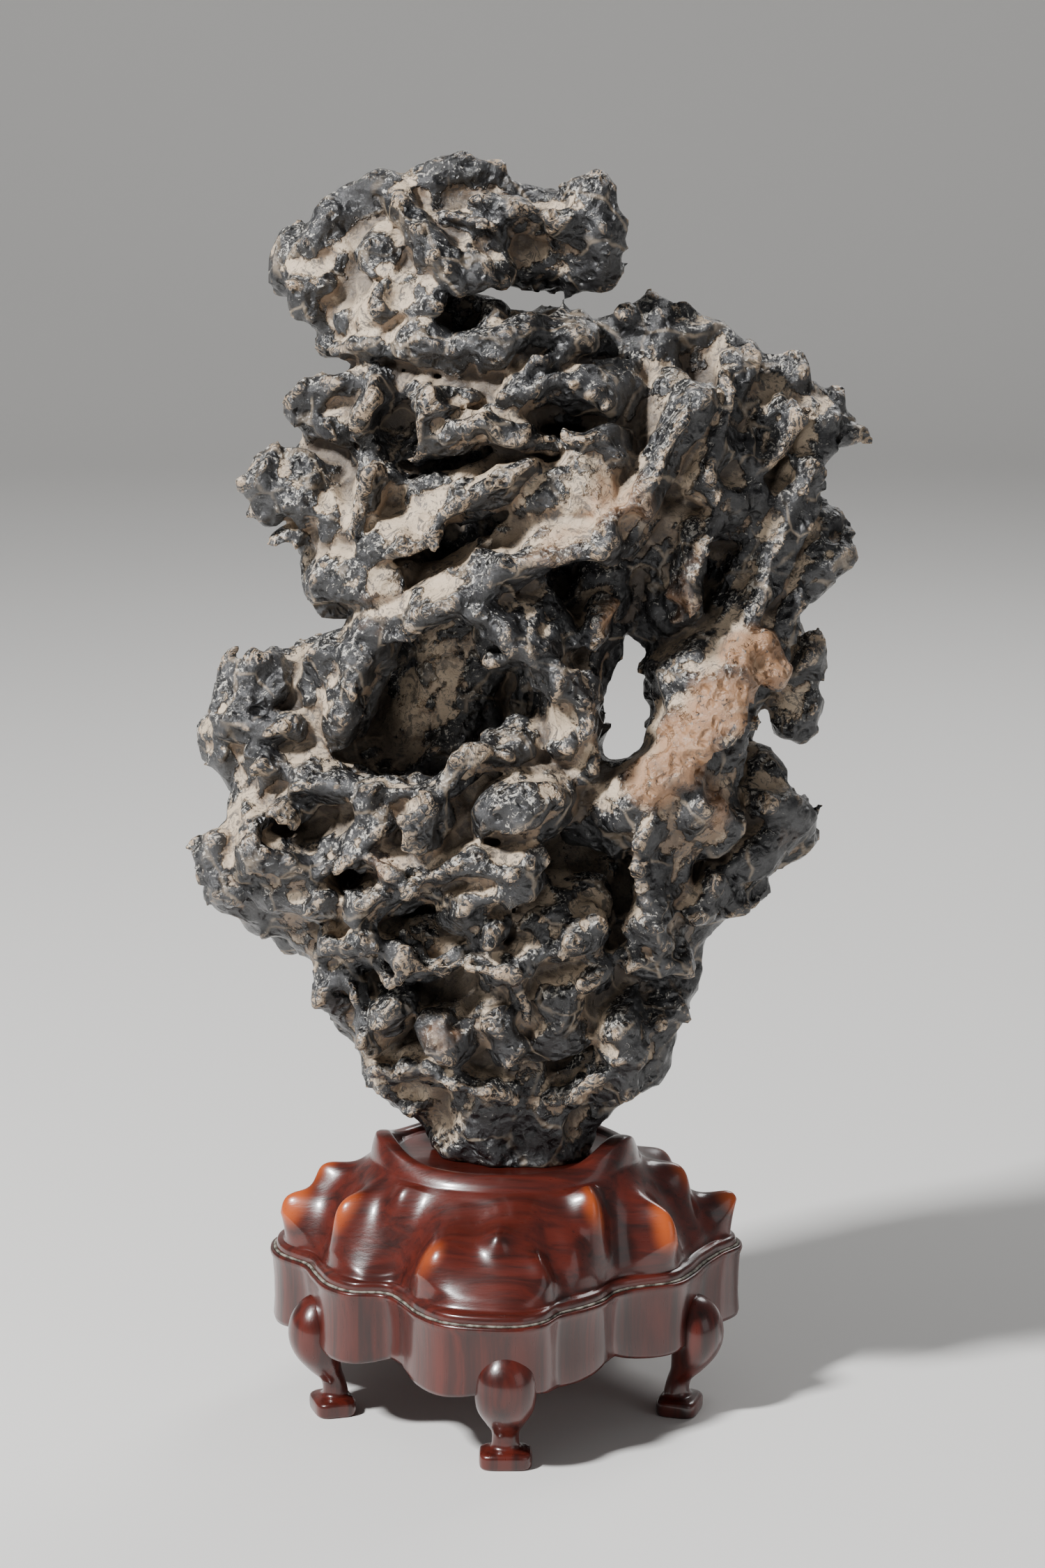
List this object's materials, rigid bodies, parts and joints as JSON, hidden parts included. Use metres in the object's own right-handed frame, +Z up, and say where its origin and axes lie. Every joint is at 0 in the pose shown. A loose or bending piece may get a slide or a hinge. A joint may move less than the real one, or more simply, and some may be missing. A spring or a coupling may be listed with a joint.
{
  "type": "scholar's stone on stand",
  "caption": "Upright weathered limestone scholar's stone, ridged and pierced, standing loose in the socket of a carved, lobed hardwood stand on short legs.",
  "frame": {"origin": "on the table, under the middle of the whole object's box", "axes": "+Z up, the stone's height; -Y towards the viewer in front; +X to the viewer's right"},
  "size_m": [0.2926, 0.2122, 0.5475],
  "materials": {
    "stone": "dark grey weathered limestone with pale veins, satin on the ridges",
    "hardwood": "dark red-brown polished hardwood"
  },
  "bodies": {
    "root": {"stone": "stone", "stand_top": "hardwood", "stand_apron": "hardwood", "leg_front": "hardwood", "leg_right_front": "hardwood", "leg_right_back": "hardwood", "leg_left_back": "hardwood", "leg_left_front": "hardwood"}
  },
  "joints": []
}
